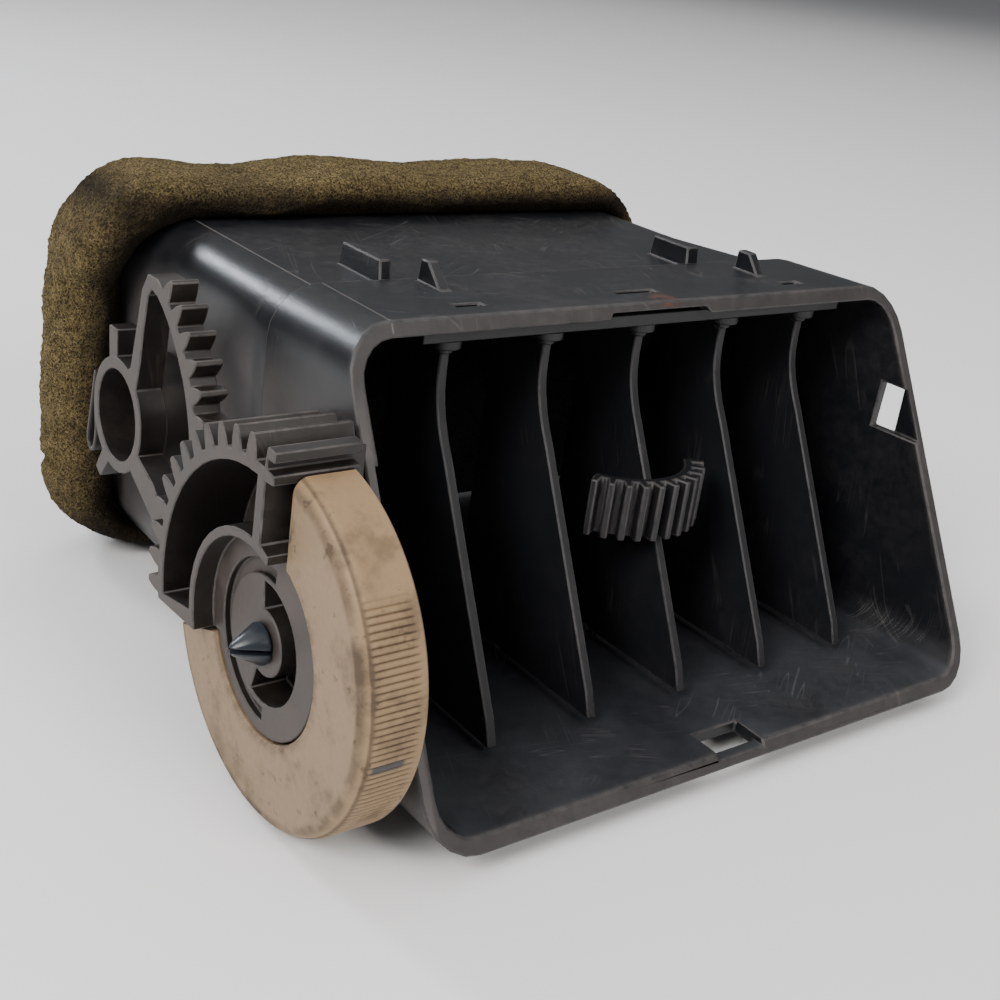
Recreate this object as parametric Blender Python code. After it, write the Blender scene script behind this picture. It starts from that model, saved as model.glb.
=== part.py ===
"""A car dashboard air vent: duct housing, five steering vanes, shut-off flap and thumbwheel drive.

X runs across the vent, +Y runs into the duct away from the driver, and Z is up. Shapes are drawn in
millimetres in the vent's own frame, whose y is counted from the mouth's lower lip, and at() turns them
into world metres. The world origin lies on the underside, at mid width of the mouth.
"""

import math

import bmesh
import bpy
from mathutils import Vector

MM = 0.001
LIP_TO_ORIGIN = 50.0  # the origin lies this far behind the lower lip, on the underside
GAP = 0.3  # clearance between touching pieces
OVERLAP = 0.5  # how far joined shapes run into each other

# Duct housing
MOUTH_X = (-61.5, 60.0)
SLEEVE_X = (-62.0, 57.5)
THROAT_X = (-60.4, 53.5)
INLET_X = (-60.4, 48.0)
HEIGHT = 66.6
MOUTH_LEAN = 36.9  # the top lip lies this far behind the lower lip
SLEEVE_END = 57.0
STEP = 1.2  # the front sleeve stands proud of the rear duct by this much
TAPER_END = 80.0
INLET_Y = 123.0
SLEEVE_WALL = 2.3
DUCT_WALL = 1.8
SLEEVE_CORNER = 8.0
DUCT_CORNER = 7.4
CORNER_STEPS = 5
BEYOND = 1.0  # how far a cutter passes the surface it cuts

# Roof tabs: x, y of the foot, y of the top, height of the roof under it, and rise above that roof
ROOF_TABS = (
    ((-42.2, -40.0), (57.5, 70.6), (58.2, 69.9), HEIGHT - STEP, 4.0),
    ((25.2, 28.2), (57.5, 68.0), (58.0, 67.4), HEIGHT - STEP, 3.9),
    ((-36.6, -34.4), (48.5, 55.6), (53.0, 55.1), HEIGHT, 3.8),
    ((32.4, 34.4), (46.0, 52.6), (49.4, 52.2), HEIGHT, 3.6),
)
TAB_ROOT = 0.6  # how far a tab's foot sinks into the roof

# Clip windows and recesses, where the front grille hooked in
WINDOW_Y = (28.2, 32.5)
WINDOW_Z = (40.0, 48.8)
RECESS_Y = (15.0, 28.8)
LEFT_RECESS_X = (-59.9, -58.0)
RIGHT_RECESS_X = (57.0, 58.6)
LOWER_SLOT_X = (-5.8, 4.4)
LOWER_SLOT_Y = (3.0, 7.5)
LOWER_RECESS_END = 3.6
LOWER_RECESS_FLOOR = 1.3
TOP_NOTCH_LOW_X = (-12.6, 11.3)
TOP_NOTCH_HIGH_X = (-11.2, 9.9)
TOP_NOTCH_Y = (30.0, 41.0)
TOP_NOTCH_DEPTH = 1.0

# Vanes
VANE_PITCH = 20.0
VANE_COUNT = 5
VANE_THICK = 1.7
VANE_PIVOT_Y = 41.3
VANE_BOTTOM = 3.8
VANE_TOP = 60.0
VANE_REAR = 54.4
NECK_Y = 40.9
NECK_Z = (50.0, 55.5)
VANE_SHOULDER = (36.6, 43.2)
VANE_TOE = (18.0, 8.0)
VANE_PIN_R = 1.3
LOWER_PIN_END = 1.2
UPPER_PIN_END = 62.9
PIN_CLEARANCE = 0.25
CRANK_Y = 58.5
CRANK_Z = 8.0
CRANK_HALF_WIDTH = 1.6
CRANK_THICK = 1.8
CRANK_PIN_R = 1.2
CRANK_PIN_TOP = 14.6
GEAR_TIP_R = 15.3
GEAR_ROOT_R = 13.1
GEAR_INNER_R = 11.6
GEAR_Z = (28.0, 38.0)
GEAR_TEETH = 11
GEAR_PITCH_DEG = 11.2

# Bar that ties the vanes' crank pins
BAR_Z = (10.2, 12.8)
BAR_HALF_WIDTH = 2.3
BAR_HOLE_R = 1.45

# Strip that carries the vanes' upper pins
STRIP_X = (-46.0, 47.0)
STRIP_Y = (38.6, 44.0)
STRIP_Z = (61.9, 64.0)
STRIP_BOSS_Z = 60.4
STRIP_BOSS_R = 2.5
HOOKS = (((34.3, 37.9), (41.3, 42.3)), ((-37.9, -34.3), (41.3, 42.3)), ((-4.6, 2.6), (42.3, 43.3)))
HOOK_SLOTS = (((33.6, 38.6), (41.0, 42.6)), ((-38.6, -33.6), (41.0, 42.6)), ((-5.3, 3.3), (42.0, 43.6)))
HOOK_BELOW_ROOF = 0.4

# Wheel and lever gears, both turning about X on the left wall
WHEEL_TEETH = 42
LEVER_TEETH = 46
CENTRE_DISTANCE = 62.9
WHEEL_Y, WHEEL_Z = 27.9, 24.0
MESH_DEG = 9.86  # direction from the wheel's centre to the lever's, from +Y towards +Z
PRESSURE = math.radians(20)
BACKLASH = 0.34
WHEEL_TIP_R = 31.4
LEVER_TIP_R = 34.5
TIP_CLEARANCE = 0.45
MODULE = 2 * CENTRE_DISTANCE / (WHEEL_TEETH + LEVER_TEETH)
LEVER_Y = WHEEL_Y + CENTRE_DISTANCE * math.cos(math.radians(MESH_DEG))
LEVER_Z = WHEEL_Z + CENTRE_DISTANCE * math.sin(math.radians(MESH_DEG))

# Thumbwheel
WHEEL_INNER_X = -62.9
WHEEL_FACE_X = -75.3
SECTOR_FACE_X = -78.2
WEB_THICK = 2.4
SECTOR_START_DEG = -12.0
SECTOR_END_DEG = 95.0
ARCH_R = 26.2
LIP_R = (15.6, 17.0)
ARCH_END_DEG = 91.5
SECTOR_FRONT = (
    (-2.9, 31.0), (-4.9, 30.8), (-4.9, 29.3), (-3.0, 29.3), (-3.0, 27.8), (-5.0, 27.6), (-5.0, 26.2),
    (-2.7, 26.0), (-2.7, 16.8), (-4.9, 16.0), (-4.9, 10.0), (0.0, -8.0), (13.4, -4.9),
)  # the notched end wall above the grip, as (y, z) from the axis
END_BAR_GAP = (
    (WHEEL_INNER_X - 2.0, WHEEL_INNER_X + BEYOND),
    (WHEEL_Y - 6.0, WHEEL_Y - 2.7),
    (WHEEL_Z + 25.0, WHEEL_Z + 32.0),
)  # the two bars of the end wall stop this far short of the duct
HUB_R = 14.1
HUB_FACE_X = WHEEL_FACE_X + 0.5
GROOVE_R = (10.0, 12.2)
GROOVE_DEG = (-95, 100)
GROOVE_DEPTH = 1.2
SLOT_R = (5.0, 9.2)
SLOT_DEG = (82, 288)
SLOT_DEPTH = 6.0
PLATE_R = 22.0
PLATE_FACE_X = WHEEL_INNER_X - 2.2
GRIP_R = 27.7
GRIP_BORE_R = 14.4
GRIP_EDGE = -5.3  # y of the grip's straight upper end, from the axis
GRIP_END_DEG = 339.0
GRIP_INNER_X = -65.6
GRIP_CHAMFER = 1.6

# Snap pin that the wheel turns on
PIN_R = 2.3
PIN_BORE_R = 2.55
PIN_BARB_R = 3.1
PIN_HEAD_R = 4.6
PIN_HEAD_X = -59.3
PIN_HEAD_THICK = 1.4
PIN_TAPER = ((0.6, PIN_BARB_R), (4.4, 1.0), (4.9, 0.5))  # distance past the barb, and radius there
PIN_SPLIT = 0.8
PIN_SPLIT_DEPTH = 5.0

# Flap and its lever
FLAP_REST_DEG = 110.0
UPPER_WING = 28.8
LOWER_WING = 32.0
FLAP_X = (-57.9, 45.5)
FLAP_CORE = 1.8
FLAP_PAD = 1.4
PAD_OFFSET = 0.15  # glue line between the plate and a facing
PAD_MARGIN = 1.5  # how far the facings reach past the plate
FLAP_CORNER = 8.0
SHAFT_R = 4.5
KEY_R = 3.0
KEY_END_X = -66.4
STUB_ROOT = 3.0
LEVER_FACE_X = -71.4
LEVER_TEETH_X = -66.7
LEVER_INNER_X = -61.2
LEVER_RIM_R = 28.8
RING_R = (8.0, 10.1)
RIM_START_DEG = 116.5
RIM_END_DEG = 214.0
SPOKE_BACKS = (
    (-17.6, -13.2), (-7.5, -8.2), (0.0, 0.0), (-3.0, 9.0), (-5.0, 10.2), (-8.3, 24.6), (-10.3, 27.7),
)  # outer edges of the lower and upper spoke, as (y, z) from the axis
LOWER_SPOKE_SIDE = ((-15.8, -6.3),)
UPPER_SPOKE_SIDE = ((-8.8, 12.5), (-9.5, 18.1), (-10.8, 24.4), (-12.0, 25.6))
RIM_WINDOW_DEG = (119.5, 209.0)
HUB_WINDOW_DEG = (203.0, 137.0)
UPPER_LUG = ((1.4, 9.4), (4.6, 8.6), (5.2, 14.6), (1.8, 14.6))  # (y, z) from the axis
LOWER_LUG = ((3.0, -9.2), (6.0, -8.0), (9.2, -13.0), (7.0, -14.2))
RING_FLOOR = 1.6

# Hairpin clip behind the lever's ring, as (y, z) from the lever's axis
CLIP_BEARING_LEG = ((10.5, -6.4), (11.1, -3.0))
CLIP_FREE_LEG = ((11.6, 4.2), (14.1, -8.2))
CLIP_BEND = (12.6, -9.6)
CLIP_BEND_R = 1.6
CLIP_HALF_THICK = 0.45
CLIP_X = (-70.8, -67.6)

# Inlet foam
FOAM_X = (-73.6, 54.5)
FOAM_Z = (-3.0, 73.0)
FOAM_CORNER = 18.0
FOAM_FRONT = 101.5
FOAM_FRONT_LEFT = 116.0
FOAM_REAR = 124.0
FOAM_CROWN = (2.0, 6.5)  # how far the front bulges forward, elsewhere and on the left
FOAM_CORNER_Z = (53.0, 65.0)  # on the left the front moves back between these heights


def at(x, y, z):
    """World metres of a point given in vent millimetres."""
    return Vector((x, y - LIP_TO_ORIGIN, z)) * MM


def material(name, colour, roughness):
    """Principled material with one plain colour."""
    made = bpy.data.materials.new(name)
    made.use_nodes = True
    shader = made.node_tree.nodes["Principled BSDF"]
    shader.inputs["Base Color"].default_value = (*colour, 1.0)
    shader.inputs["Roughness"].default_value = roughness
    shader.inputs["Metallic"].default_value = 0.0
    return made


def add_object(name, shape, finish, pivot=(0.0, LIP_TO_ORIGIN, 0.0)):
    """Object called name, with its origin on pivot and its mesh taken from a bmesh in vent millimetres."""
    origin = at(*pivot)
    for vertex in shape.verts:
        vertex.co = at(*vertex.co) - origin
    bmesh.ops.recalc_face_normals(shape, faces=shape.faces)
    mesh = bpy.data.meshes.new(name)
    shape.to_mesh(mesh)
    shape.free()
    if finish:
        mesh.materials.append(finish)
    made = bpy.data.objects.new(name, mesh)
    made.location = origin
    bpy.context.scene.collection.objects.link(made)
    mesh.shade_smooth()
    mesh.set_sharp_from_angle(angle=math.radians(35))
    return made


def combine(target, operation, *shapes):
    """Joins shapes to target (UNION) or cuts them from it (DIFFERENCE) with Boolean modifiers."""
    for number, shape in enumerate(shapes):
        tool = add_object(f"{target.name}_{operation.lower()}_{number}", shape, None)
        tool.hide_render = True
        tool.display_type = "WIRE"
        change = target.modifiers.new(tool.name, "BOOLEAN")
        change.operation = operation
        change.object = tool
        change.solver = "EXACT"


def prism(outline, axis, low, high):
    """Solid with a flat outline across axis. The outline's points are (y, z), (x, z) or (x, y) in turn."""
    place = {
        "X": lambda u, v, w: (w, u, v),
        "Y": lambda u, v, w: (u, w, v),
        "Z": lambda u, v, w: (u, v, w),
    }[axis]
    shape = bmesh.new()
    face = shape.faces.new([shape.verts.new(place(u, v, low)) for u, v in outline])
    pushed = bmesh.ops.extrude_face_region(shape, geom=[face])["geom"]
    corners = [item for item in pushed if isinstance(item, bmesh.types.BMVert)]
    bmesh.ops.translate(shape, verts=corners, vec=Vector(place(0, 0, high - low)))
    return shape


def box(x, y, z):
    """Block between pairs of x, y and z."""
    return prism([(x[0], y[0]), (x[1], y[0]), (x[1], y[1]), (x[0], y[1])], "Z", *z)


def polar(centre, radius, degrees):
    """Point at a radius and an angle from centre."""
    angle = math.radians(degrees)
    return (centre[0] + radius * math.cos(angle), centre[1] + radius * math.sin(angle))


def around(centre, offsets):
    """Outline points given as offsets from centre."""
    return [(centre[0] + u, centre[1] + v) for u, v in offsets]


def arc(centre, radius, start_deg, end_deg, steps):
    """Points on an arc, both ends included."""
    return [polar(centre, radius, start_deg + (end_deg - start_deg) * i / steps) for i in range(steps + 1)]


def disc(centre, radius, axis, low, high, sides=24):
    """Round bar along axis."""
    return prism(arc(centre, radius, 0, 360 - 360 / sides, sides - 1), axis, low, high)


def turned(centre, profile, sides=20):
    """Closed solid turned about a line along X, from (x, radius) points that start and end on the line."""
    shape = bmesh.new()
    rings = []
    for x, radius in profile:
        around = arc(centre, radius, 0, 360 - 360 / sides, sides - 1) if radius else [centre]
        rings.append([shape.verts.new((x, y, z)) for y, z in around])
    for near, far in zip(rings, rings[1:]):
        for i in range(sides):
            corners = [near[i % len(near)], near[(i + 1) % len(near)]]
            corners += [far[(i + 1) % len(far)], far[i % len(far)]]
            shape.faces.new(dict.fromkeys(corners))
    return shape


def ring_solid(rings):
    """Closed surface through rings of equal length, the last joined back to the first."""
    shape = bmesh.new()
    rows = [[shape.verts.new(point) for point in ring] for ring in rings]
    for near, far in zip(rows, rows[1:] + rows[:1]):
        for i in range(len(near)):
            j = (i + 1) % len(near)
            shape.faces.new((near[i], near[j], far[j], far[i]))
    return shape


def rounded(x, z, radius, steps=CORNER_STEPS):
    """Outline (x, z) of a rectangle with round corners, counter-clockwise from the lower right."""
    points = arc((x[1] - radius, z[0] + radius), radius, -90, 0, steps)
    points += arc((x[1] - radius, z[1] - radius), radius, 0, 90, steps)
    points += arc((x[0] + radius, z[1] - radius), radius, 90, 180, steps)
    points += arc((x[0] + radius, z[0] + radius), radius, 180, 270, steps)
    return points


def mouth_y(z):
    """The leaning mouth's y at height z."""
    return MOUTH_LEAN * z / HEIGHT


def section(x, inset, radius, y=None):
    """Ring of the duct, inset from its full height. With no y it lies in the leaning mouth."""
    outline = rounded(x, (inset, HEIGHT - inset), radius)
    return [(u, mouth_y(v) if y is None else y, v) for u, v in outline]


def inward(x, wall):
    return (x[0] + wall, x[1] - wall)


def housing_shell():
    """Tube with a leaning mouth, a front sleeve, a small step, a taper on the right and a plain inlet."""
    corner_in = SLEEVE_CORNER - SLEEVE_WALL
    duct_in = DUCT_CORNER - DUCT_WALL
    deep = STEP + DUCT_WALL
    return ring_solid([
        section(MOUTH_X, 0, SLEEVE_CORNER),
        section(SLEEVE_X, 0, SLEEVE_CORNER, SLEEVE_END),
        section(THROAT_X, STEP, DUCT_CORNER, SLEEVE_END + STEP),
        section(INLET_X, STEP, DUCT_CORNER, TAPER_END),
        section(INLET_X, STEP, DUCT_CORNER, INLET_Y),
        section(inward(INLET_X, DUCT_WALL), deep, duct_in, INLET_Y),
        section(inward(INLET_X, DUCT_WALL), deep, duct_in, TAPER_END),
        section(inward(THROAT_X, DUCT_WALL), deep, duct_in, SLEEVE_END + STEP),
        section(inward(SLEEVE_X, SLEEVE_WALL), SLEEVE_WALL, corner_in, SLEEVE_END - STEP),
        section(inward(MOUTH_X, SLEEVE_WALL), SLEEVE_WALL, corner_in),
    ])


def top_tabs():
    """Four upright tabs on the roof that locate the vent in the dashboard."""
    tabs = []
    for x, foot, top, roof, rise in ROOF_TABS:
        low, high = roof - TAB_ROOT, roof + rise
        tabs.append(prism([(foot[0], low), (foot[1], low), (top[1], high), (top[0], high)], "X", *x))
    return tabs


def lip_cuts():
    """Clip windows and shallow recesses round the mouth, and the roof slots for the strip's hooks."""
    under_floor, over_roof = -BEYOND, HEIGHT + BEYOND
    floor_top = SLEEVE_WALL + BEYOND
    ceiling = HEIGHT - SLEEVE_WALL
    notch_low, notch_high = ceiling - BEYOND, ceiling + TOP_NOTCH_DEPTH
    notch = [(TOP_NOTCH_LOW_X[0], notch_low), (TOP_NOTCH_LOW_X[1], notch_low)]
    notch += [(TOP_NOTCH_HIGH_X[1], notch_high), (TOP_NOTCH_HIGH_X[0], notch_high)]
    left_wall = (SLEEVE_X[0] - BEYOND, SLEEVE_X[0] + SLEEVE_WALL + 2 * BEYOND)
    right_wall = (SLEEVE_X[1] - SLEEVE_WALL - BEYOND, MOUTH_X[1] + BEYOND)
    cuts = [
        box(left_wall, WINDOW_Y, WINDOW_Z),
        box(right_wall, WINDOW_Y, WINDOW_Z),
        box(LEFT_RECESS_X, RECESS_Y, WINDOW_Z),
        box(RIGHT_RECESS_X, RECESS_Y, WINDOW_Z),
        box(LOWER_SLOT_X, LOWER_SLOT_Y, (under_floor, floor_top)),
        box(LOWER_SLOT_X, (-BEYOND, LOWER_RECESS_END), (LOWER_RECESS_FLOOR, floor_top)),
        prism(notch, "Y", *TOP_NOTCH_Y),
    ]
    return cuts + [box(x, y, (ceiling - BEYOND, over_roof)) for x, y in HOOK_SLOTS]


def vane_positions():
    return [VANE_PITCH * (i - (VANE_COUNT - 1) / 2) for i in range(VANE_COUNT)]


def build_housing(finish):
    housing = add_object("duct_housing", housing_shell(), finish)
    combine(housing, "UNION", *top_tabs())
    hole_r, top = VANE_PIN_R + PIN_CLEARANCE, SLEEVE_WALL + BEYOND
    holes = [disc((x, VANE_PIVOT_Y), hole_r, "Z", -BEYOND, top, 12) for x in vane_positions()]
    left = (SLEEVE_X[0] - BEYOND, SLEEVE_X[0] + SLEEVE_WALL + 2 * BEYOND)
    right = (INLET_X[1] - DUCT_WALL - BEYOND, INLET_X[1] + BEYOND)
    holes += [
        disc((WHEEL_Y, WHEEL_Z), PIN_BORE_R, "X", *left),
        disc((LEVER_Y, LEVER_Z), SHAFT_R + GAP, "X", *left),
        disc((LEVER_Y, LEVER_Z), KEY_R + GAP, "X", *right),
    ]
    combine(housing, "DIFFERENCE", *lip_cuts(), *holes)


def build_strip(finish):
    """Flat strip under the roof with five bearing holes and two hooks that snap into the roof's slots."""
    strip = add_object("upper_vane_bearing_strip", box(STRIP_X, STRIP_Y, STRIP_Z), finish)
    low, high = STRIP_Z[0] + OVERLAP, STRIP_Z[1] - OVERLAP
    hooks = [box(x, y, (high, HEIGHT - HOOK_BELOW_ROOF)) for x, y in HOOKS]
    bosses = [disc((x, VANE_PIVOT_Y), STRIP_BOSS_R, "Z", STRIP_BOSS_Z, low, 16) for x in vane_positions()]
    combine(strip, "UNION", *hooks, *bosses)
    hole_r, deep = VANE_PIN_R + PIN_CLEARANCE, UPPER_PIN_END + 0.4
    holes = [disc((x, VANE_PIVOT_Y), hole_r, "Z", STRIP_BOSS_Z - BEYOND, deep, 12) for x in vane_positions()]
    combine(strip, "DIFFERENCE", *holes)


def bend(start, corner, end, steps):
    """Points on the smooth curve from start to end that leans towards corner."""
    points = []
    for i in range(steps + 1):
        t = i / steps
        near, lean, far = (1 - t) ** 2, 2 * t * (1 - t), t * t
        points.append(tuple(near * a + lean * b + far * c for a, b, c in zip(start, corner, end)))
    return points


def vane_outline():
    """Side view (y, z): an upright neck at the pivot, then a front edge that leans like the mouth."""
    rear = [(VANE_REAR, VANE_BOTTOM), (VANE_REAR, VANE_TOP), (NECK_Y, VANE_TOP)]
    neck = bend((NECK_Y, NECK_Z[1]), (NECK_Y, NECK_Z[0]), VANE_SHOULDER, 5)
    return [*rear, *neck, VANE_TOE, (VANE_TOE[0] - 1.5, VANE_BOTTOM)]


def gear_arc(x):
    """Toothed arc about the vane's pivot, in plan (x, y), with square-cut teeth facing the mouth."""
    pivot = (x, VANE_PIVOT_Y)
    half = GEAR_TEETH * GEAR_PITCH_DEG / 2
    profile = ((-0.30, GEAR_ROOT_R), (-0.19, GEAR_TIP_R), (0.19, GEAR_TIP_R), (0.30, GEAR_ROOT_R))
    points = []
    for i in range(GEAR_TEETH):
        middle = -90 - half + (i + 0.5) * GEAR_PITCH_DEG
        points += [polar(pivot, radius, middle + share * GEAR_PITCH_DEG) for share, radius in profile]
    return points + arc(pivot, GEAR_INNER_R, -90 + half - 3, -90 - half + 3, 14)


def build_vane(number, x, finish):
    """One vane with its two pivot pins and the crank pin that the link bar holds."""
    plate = prism(vane_outline(), "X", x - VANE_THICK / 2, x + VANE_THICK / 2)
    vane = add_object(f"vane_{number}", plate, finish, (x, VANE_PIVOT_Y, VANE_BOTTOM))
    lug_y = (VANE_REAR - BEYOND, CRANK_Y + CRANK_HALF_WIDTH)
    combine(
        vane,
        "UNION",
        disc((x, VANE_PIVOT_Y), VANE_PIN_R, "Z", LOWER_PIN_END, VANE_BOTTOM + OVERLAP, 10),
        disc((x, VANE_PIVOT_Y), VANE_PIN_R, "Z", VANE_TOP - OVERLAP, UPPER_PIN_END, 10),
        box((x - CRANK_HALF_WIDTH, x + CRANK_HALF_WIDTH), lug_y, (CRANK_Z, CRANK_Z + CRANK_THICK)),
        disc((x, CRANK_Y), CRANK_PIN_R, "Z", CRANK_Z + OVERLAP, CRANK_PIN_TOP, 10),
    )
    if number == (VANE_COUNT + 1) // 2:
        combine(vane, "UNION", prism(gear_arc(x), "Z", *GEAR_Z))


def build_link_bar(finish):
    """Bar that ties the five crank pins, so that every vane follows the centre one."""
    x = (vane_positions()[0] - BAR_HALF_WIDTH, vane_positions()[-1] + BAR_HALF_WIDTH)
    y = (CRANK_Y - BAR_HALF_WIDTH, CRANK_Y + BAR_HALF_WIDTH)
    bar = add_object("vane_link_bar", box(x, y, BAR_Z), finish, (0.0, CRANK_Y, BAR_Z[0]))
    low, high = BAR_Z[0] - BEYOND, BAR_Z[1] + BEYOND
    holes = [disc((x, CRANK_Y), BAR_HOLE_R, "Z", low, high, 12) for x in vane_positions()]
    combine(bar, "DIFFERENCE", *holes)


def involute(angle):
    return math.tan(angle) - angle


def tooth(centre, teeth, root_r, tip_r, middle_deg):
    """Points up one flank of an involute tooth and down the other, from root to root."""
    pitch_r = MODULE * teeth / 2
    base_r = pitch_r * math.cos(PRESSURE)
    half_pitch = math.pi / (2 * teeth) - BACKLASH / (4 * pitch_r)
    flank = []
    for i in range(4):
        radius = max(base_r + 0.01, root_r) + (tip_r - max(base_r + 0.01, root_r)) * i / 3
        half = half_pitch + involute(PRESSURE) - involute(math.acos(base_r / radius))
        flank.append((radius, half))
    if root_r < flank[0][0] - 0.05:
        flank.insert(0, (root_r, flank[0][1] + 0.004))
    sides = [(radius, -half) for radius, half in flank] + [(radius, half) for radius, half in reversed(flank)]
    middle = math.radians(middle_deg)
    return [(centre[0] + r * math.cos(middle + a), centre[1] + r * math.sin(middle + a)) for r, a in sides]


def toothed_arc(centre, teeth, root_r, tip_r, phase_deg, start_deg, end_deg):
    """Gear outline from start_deg to end_deg, with a tooth on phase_deg and at every pitch from it."""
    pitch = 360 / teeth
    half_tooth = 0.3  # of a pitch, so that no tooth runs past an end
    first = math.ceil((start_deg - phase_deg) / pitch + half_tooth)
    last = math.floor((end_deg - phase_deg) / pitch - half_tooth)
    points = [polar(centre, root_r, start_deg)]
    for i in range(first, last + 1):
        points += tooth(centre, teeth, root_r, tip_r, phase_deg + i * pitch)
    points.append(polar(centre, root_r, end_deg))
    return points


def build_wheel_carrier(finish):
    """Black half of the thumbwheel: hub, back plate and the hollow toothed sector."""
    centre = (WHEEL_Y, WHEEL_Z)
    root_r = CENTRE_DISTANCE - LEVER_TIP_R - TIP_CLEARANCE
    outer = toothed_arc(centre, WHEEL_TEETH, root_r, WHEEL_TIP_R, MESH_DEG, SECTOR_START_DEG, SECTOR_END_DEG)
    outer += around(centre, SECTOR_FRONT)
    sector = prism(outer, "X", SECTOR_FACE_X, WHEEL_INNER_X)
    carrier = add_object("thumbwheel_carrier", sector, finish, (WHEEL_INNER_X, WHEEL_Y, WHEEL_Z))
    web_x = WHEEL_INNER_X - WEB_THICK
    combine(
        carrier,
        "UNION",
        disc(centre, HUB_R, "X", HUB_FACE_X, WHEEL_INNER_X, 36),
        disc(centre, PLATE_R, "X", PLATE_FACE_X, WHEEL_INNER_X, 36),
    )
    window = arc(centre, ARCH_R, SECTOR_START_DEG + 2.5, ARCH_END_DEG, 16)
    window += arc(centre, LIP_R[1], ARCH_END_DEG, SECTOR_START_DEG + 3.5, 11)
    combine(
        carrier,
        "DIFFERENCE",
        prism(window, "X", SECTOR_FACE_X - BEYOND, web_x),
        disc(centre, LIP_R[0], "X", SECTOR_FACE_X - BEYOND, HUB_FACE_X, 36),
        hub_groove(centre),
        hub_slot(centre),
        box(*END_BAR_GAP),
        disc(centre, PIN_BORE_R, "X", SECTOR_FACE_X - BEYOND, WHEEL_INNER_X + BEYOND, 20),
    )


def hub_groove(centre):
    """Shallow curved groove sunk in the rear half of the hub's face."""
    outline = arc(centre, GROOVE_R[1], *GROOVE_DEG, 18) + arc(centre, GROOVE_R[0], *reversed(GROOVE_DEG), 18)
    return prism(outline, "X", HUB_FACE_X - BEYOND, HUB_FACE_X + GROOVE_DEPTH)


def hub_slot(centre):
    """C-shaped slot round the pin, which frees a springy arm that grips it."""
    outline = arc(centre, SLOT_R[1], *SLOT_DEG, 18) + arc(centre, SLOT_R[0], *reversed(SLOT_DEG), 18)
    return prism(outline, "X", HUB_FACE_X - BEYOND, HUB_FACE_X + SLOT_DEPTH)


def build_wheel_grip(finish):
    """Cream rim that the thumb rolls, clipped over the carrier's plate, with a chamfered outer edge."""
    centre = (WHEEL_Y, WHEEL_Z)
    rings = []
    for x, radius in (
        (GRIP_INNER_X, GRIP_R),
        (WHEEL_FACE_X + GRIP_CHAMFER, GRIP_R),
        (WHEEL_FACE_X, GRIP_R - GRIP_CHAMFER),
        (WHEEL_FACE_X, GRIP_BORE_R),
        (GRIP_INNER_X, GRIP_BORE_R),
    ):
        start = math.degrees(math.acos(GRIP_EDGE / radius))
        rings.append([(x, y, z) for y, z in arc(centre, radius, start, GRIP_END_DEG, 40)])
    shape = bmesh.new()
    rows = [[shape.verts.new(point) for point in ring] for ring in rings]
    for near, far in zip(rows, rows[1:] + rows[:1]):
        for i in range(len(near) - 1):
            shape.faces.new((near[i], near[i + 1], far[i + 1], far[i]))
    for end in (0, -1):
        shape.faces.new([row[end] for row in rows])
    add_object("thumbwheel_grip", shape, finish, (WHEEL_INNER_X, WHEEL_Y, WHEEL_Z))


def build_pivot_pin(finish):
    """Split snap pin pushed through the wall from inside, with a pointed barbed end outside the hub."""
    centre = (WHEEL_Y, WHEEL_Z)
    barb = HUB_FACE_X - GAP
    head = PIN_HEAD_X + PIN_HEAD_THICK
    profile = [(head, 0), (head, PIN_HEAD_R), (PIN_HEAD_X, PIN_HEAD_R), (PIN_HEAD_X, PIN_R), (barb, PIN_R)]
    profile += [(barb, PIN_BARB_R), *[(barb - past, radius) for past, radius in PIN_TAPER]]
    tip = profile[-1][0]
    pin = add_object("thumbwheel_pivot_pin", turned(centre, [*profile, (tip, 0)]), finish,
                     (PIN_HEAD_X, WHEEL_Y, WHEEL_Z))
    y = (WHEEL_Y - PIN_HEAD_R, WHEEL_Y + PIN_HEAD_R)
    z = (WHEEL_Z - PIN_SPLIT / 2, WHEEL_Z + PIN_SPLIT / 2)
    combine(pin, "DIFFERENCE", box((tip - BEYOND, barb + PIN_SPLIT_DEPTH), y, z))


def build_flap_lever(finish):
    """Toothed quadrant on the flap's shaft: a ring hub, two thin spokes and the toothed rim."""
    centre = (LEVER_Y, LEVER_Z)
    root_r = CENTRE_DISTANCE - WHEEL_TIP_R - TIP_CLEARANCE
    phase = 180 + MESH_DEG + 180 / LEVER_TEETH
    rim = toothed_arc(centre, LEVER_TEETH, root_r, LEVER_TIP_R, phase, RIM_START_DEG, RIM_END_DEG)
    quadrant = prism(rim + around(centre, SPOKE_BACKS), "X", LEVER_FACE_X, LEVER_TEETH_X)
    lever = add_object("flap_lever", quadrant, finish, (LEVER_INNER_X, LEVER_Y, LEVER_Z))
    lug_x = (LEVER_FACE_X + 0.4, LEVER_TEETH_X)
    combine(
        lever,
        "UNION",
        disc(centre, RING_R[1], "X", LEVER_FACE_X, LEVER_INNER_X, 32),
        prism(around(centre, UPPER_LUG), "X", *lug_x),
        prism(around(centre, LOWER_LUG), "X", *lug_x),
    )
    window = arc(centre, LEVER_RIM_R, *RIM_WINDOW_DEG, 16) + around(centre, LOWER_SPOKE_SIDE)
    window += arc(centre, RING_R[1] + 0.1, *HUB_WINDOW_DEG, 8) + around(centre, UPPER_SPOKE_SIDE)
    combine(
        lever,
        "DIFFERENCE",
        prism(window, "X", LEVER_FACE_X - BEYOND, LEVER_TEETH_X + BEYOND),
        disc(centre, RING_R[0], "X", LEVER_FACE_X - BEYOND, LEVER_INNER_X - RING_FLOOR, 32),
        disc(centre, KEY_R + GAP, "X", LEVER_FACE_X, LEVER_INNER_X + BEYOND, 16),
    )


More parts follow.
